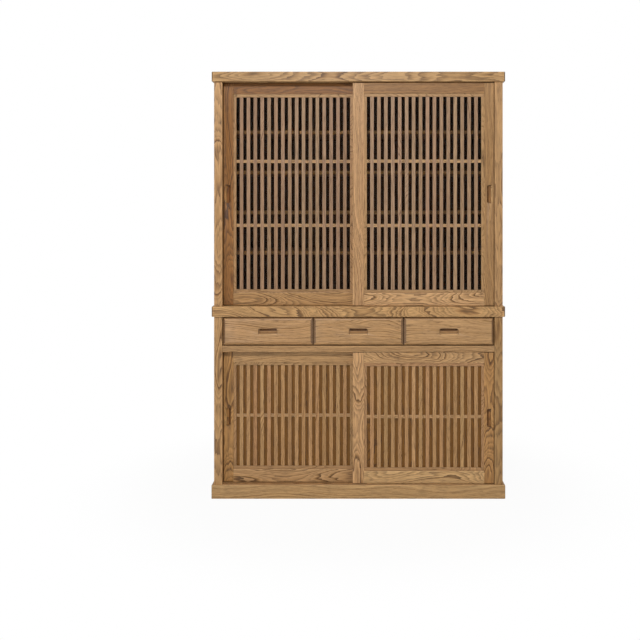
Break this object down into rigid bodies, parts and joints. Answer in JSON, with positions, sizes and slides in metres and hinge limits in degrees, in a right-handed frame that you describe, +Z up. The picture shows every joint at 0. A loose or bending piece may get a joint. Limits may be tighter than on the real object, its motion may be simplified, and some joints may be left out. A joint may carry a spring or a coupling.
{
  "type": "mizuya kitchen cabinet",
  "caption": "Tall two-part mizuya kitchen cabinet in ash: glazed lattice sliding doors above, drawers at the waist, panelled lattice sliding doors below.",
  "frame": {"origin": "on the floor under the middle of the cabinet", "axes": "+Z up, -Y the front with the doors and drawers, +X to the right as seen from the front"},
  "size_m": [1.3, 0.45, 1.89],
  "materials": {
    "ash_boards": "oiled, plain-sawn ash",
    "ash_sides": "oiled ash",
    "ash_doors": "oiled ash",
    "ash_lattice": "oiled, straight-grained ash",
    "ash_drawers": "oiled, straight-grained ash",
    "door_panel_wood": "oiled wooden panel",
    "shelf_wood": "oiled wood",
    "inner_wood": "plain wood",
    "drawer_wood": "plain paulownia",
    "back_plywood": "plain plywood",
    "door_glass": "clear, tinted bronze"
  },
  "bodies": {
    "cabinet": {"top_board": "ash_boards", "waist_board": "ash_boards", "upper_left_side": "ash_sides", "upper_right_side": "ash_sides", "lower_left_side": "ash_sides", "lower_right_side": "ash_sides", "upper_back_panel": "back_plywood", "lower_back_panel": "back_plywood", "upper_shelf_1": "shelf_wood", "upper_shelf_2": "shelf_wood", "upper_shelf_3": "shelf_wood", "upper_shelf_4": "shelf_wood", "lower_shelf": "shelf_wood", "shelf_cleats": "inner_wood", "plinth_front": "ash_boards", "plinth_left": "ash_boards", "plinth_right": "ash_boards", "plinth_back": "inner_wood", "floor_board": "ash_boards", "drawer_rail": "ash_boards", "drawer_deck": "inner_wood", "drawer_guides": "inner_wood", "top_stretchers": "inner_wood", "locating_dowels": "inner_wood"},
    "upper_left_door": {"upper_left_door_pull_stile": "ash_doors", "upper_left_door_meeting_stile": "ash_doors", "upper_left_door_top_rail": "ash_doors", "upper_left_door_bottom_rail": "ash_doors", "upper_left_door_lattice": "ash_lattice", "upper_left_door_glass": "door_glass"},
    "upper_right_door": {"upper_right_door_pull_stile": "ash_doors", "upper_right_door_meeting_stile": "ash_doors", "upper_right_door_top_rail": "ash_doors", "upper_right_door_bottom_rail": "ash_doors", "upper_right_door_lattice": "ash_lattice", "upper_right_door_glass": "door_glass"},
    "lower_left_door": {"lower_left_door_pull_stile": "ash_doors", "lower_left_door_meeting_stile": "ash_doors", "lower_left_door_top_rail": "ash_doors", "lower_left_door_bottom_rail": "ash_doors", "lower_left_door_lattice": "ash_lattice", "lower_left_door_panel": "door_panel_wood"},
    "lower_right_door": {"lower_right_door_pull_stile": "ash_doors", "lower_right_door_meeting_stile": "ash_doors", "lower_right_door_top_rail": "ash_doors", "lower_right_door_bottom_rail": "ash_doors", "lower_right_door_lattice": "ash_lattice", "lower_right_door_panel": "door_panel_wood"},
    "drawer_left": {"drawer_left_front": "ash_drawers", "drawer_left_sides": "drawer_wood", "drawer_left_back": "drawer_wood", "drawer_left_bottom": "back_plywood"},
    "drawer_centre": {"drawer_centre_front": "ash_drawers", "drawer_centre_sides": "drawer_wood", "drawer_centre_back": "drawer_wood", "drawer_centre_bottom": "back_plywood"},
    "drawer_right": {"drawer_right_front": "ash_drawers", "drawer_right_sides": "drawer_wood", "drawer_right_back": "drawer_wood", "drawer_right_bottom": "back_plywood"}
  },
  "joints": [
    {"name": "upper_left_door_slide", "type": "slide", "parent": "cabinet", "child": "upper_left_door", "axis": [1, 0, 0], "range_m": [0, 0.578]},
    {"name": "upper_right_door_slide", "type": "slide", "parent": "cabinet", "child": "upper_right_door", "axis": [-1, 0, 0], "range_m": [0, 0.578]},
    {"name": "lower_left_door_slide", "type": "slide", "parent": "cabinet", "child": "lower_left_door", "axis": [1, 0, 0], "range_m": [0, 0.578]},
    {"name": "lower_right_door_slide", "type": "slide", "parent": "cabinet", "child": "lower_right_door", "axis": [-1, 0, 0], "range_m": [0, 0.578]},
    {"name": "drawer_left_slide", "type": "slide", "parent": "cabinet", "child": "drawer_left", "axis": [0, -1, 0], "range_m": [0, 0.3]},
    {"name": "drawer_centre_slide", "type": "slide", "parent": "cabinet", "child": "drawer_centre", "axis": [0, -1, 0], "range_m": [0, 0.3]},
    {"name": "drawer_right_slide", "type": "slide", "parent": "cabinet", "child": "drawer_right", "axis": [0, -1, 0], "range_m": [0, 0.3]}
  ]
}
